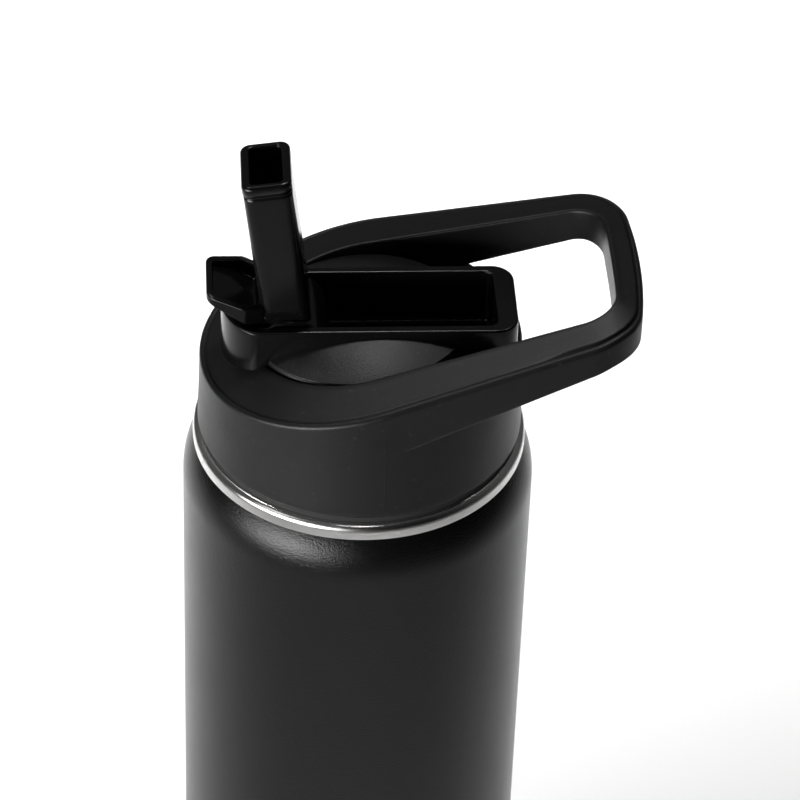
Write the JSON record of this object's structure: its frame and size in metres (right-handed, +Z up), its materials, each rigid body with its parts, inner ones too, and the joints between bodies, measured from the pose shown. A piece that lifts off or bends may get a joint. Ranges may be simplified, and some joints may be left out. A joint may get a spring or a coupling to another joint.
{
  "type": "insulated water bottle",
  "caption": "Double-walled steel drinking flask, powder coated, with a screw-in lid that has a carry loop and a fold-down spout.",
  "frame": {"origin": "middle of the base pad's underside, on the flask's axis", "axes": "+Z up along the flask's axis, +X towards the carry loop's free end with the lid done up, +Y to complete a right-handed set; the spout leans to -X and its pivot lies along Y"},
  "size_m": [0.0932, 0.073, 0.3146],
  "materials": {
    "powder_coat": "semi-gloss powder coat with a fine pebble grain",
    "polished_steel": "satin to bright stainless steel",
    "base_steel": "plain stainless steel, hidden in the vacuum space or under the foot",
    "vacuum_solder": "dull glass-like solder bead",
    "getter": "dark pressed pellet",
    "pad_rubber": "matte soft rubber",
    "gasket_silicone": "matte silicone",
    "grained_plastic": "satin black plastic, fine grain on the top faces",
    "core_plastic": "plain black plastic",
    "gloss_plastic": "glossy black plastic",
    "foam": "light insulating foam",
    "straw_plastic": "frosted clear plastic",
    "clear_silicone": "translucent silicone"
  },
  "bodies": {
    "bottle": {"outer_shell": "powder_coat", "outer_base": "base_steel", "vacuum_seal": "vacuum_solder", "getter": "getter", "base_pad": "pad_rubber", "inner_liner": "polished_steel"},
    "gasket": {"lid_gasket": "gasket_silicone"},
    "lid": {"lid_core": "core_plastic", "plug_cap": "core_plastic", "plug_foam": "foam", "straw_socket": "clear_silicone", "straw": "straw_plastic", "vent_valve": "clear_silicone", "lid_shell": "grained_plastic", "top_insert": "gloss_plastic", "insert_seal": "clear_silicone", "spout_seal": "clear_silicone"},
    "spout": {"spout": "gloss_plastic"}
  },
  "joints": [
    {"name": "lid_lift", "type": "slide", "parent": "bottle", "child": "gasket", "axis": [0, 0, 1], "range_m": [0, 0.0061]},
    {"name": "lid_turn", "type": "hinge", "parent": "gasket", "child": "lid", "pos_m": [0, 0, 0.25], "axis": [0, 0, 1], "range_deg": [0, 540]},
    {"name": "spout_flip", "type": "hinge", "parent": "lid", "child": "spout", "pos_m": [-0.0146, 0, 0.2734], "axis": [0, 1, 0], "range_deg": [0, 97.2]}
  ],
  "couplings": [
    {"joint": "lid_lift", "follows": "lid_turn", "m_per_rad": 0.00063662}
  ]
}
